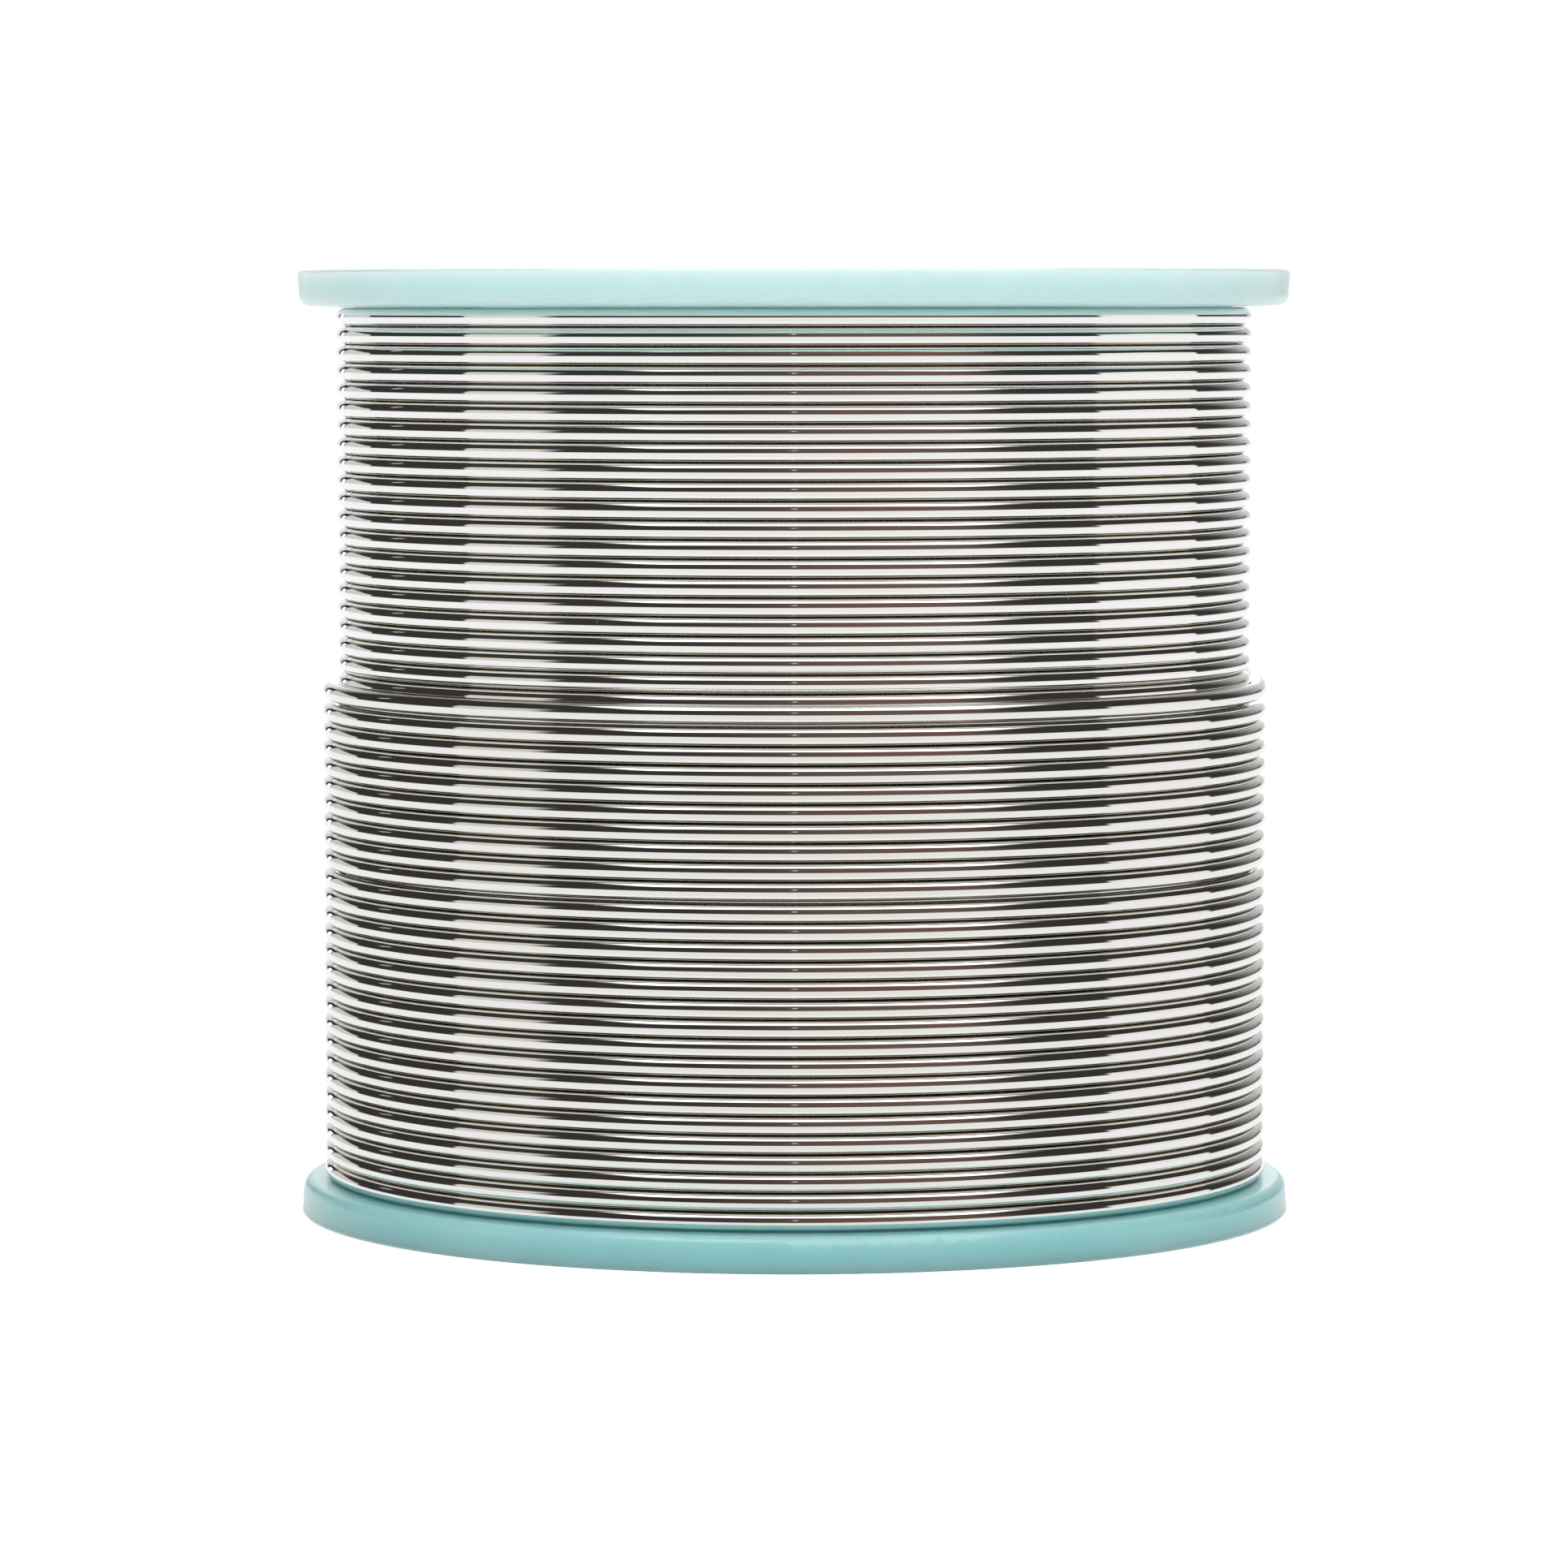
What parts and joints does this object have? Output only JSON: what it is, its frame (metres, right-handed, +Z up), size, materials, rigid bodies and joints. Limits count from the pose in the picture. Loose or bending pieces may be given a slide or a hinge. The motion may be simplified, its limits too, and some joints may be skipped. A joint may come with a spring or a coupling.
{
  "type": "solder wire spool",
  "caption": "Moulded plastic reel with flat flanges and a central spindle bore, wound in close level turns with bright flux-cored solder wire.",
  "frame": {"origin": "centre of the lower flange's outer face, on the surface that the spool stands on", "axes": "+Z up along the spool's axis, -Y towards the front, where all turns lie level"},
  "size_m": [0.055, 0.055, 0.0523],
  "materials": {
    "reel_plastic": "satin moulded plastic, pale mint green",
    "solder_wire": "bright drawn tin alloy with fine drawing lines",
    "flux_resin": "amber rosin"
  },
  "bodies": {
    "root": {"lower_spool_half": "reel_plastic", "upper_spool_half": "reel_plastic", "inner_winding": "solder_wire", "full_layer_turns": "solder_wire", "full_layer_crossovers": "solder_wire", "layer_change": "solder_wire", "outer_layer_turns": "solder_wire", "outer_layer_crossovers": "solder_wire", "last_turn_step": "solder_wire", "free_end": "solder_wire", "flux_core": "flux_resin", "wire_start": "solder_wire"}
  },
  "joints": []
}
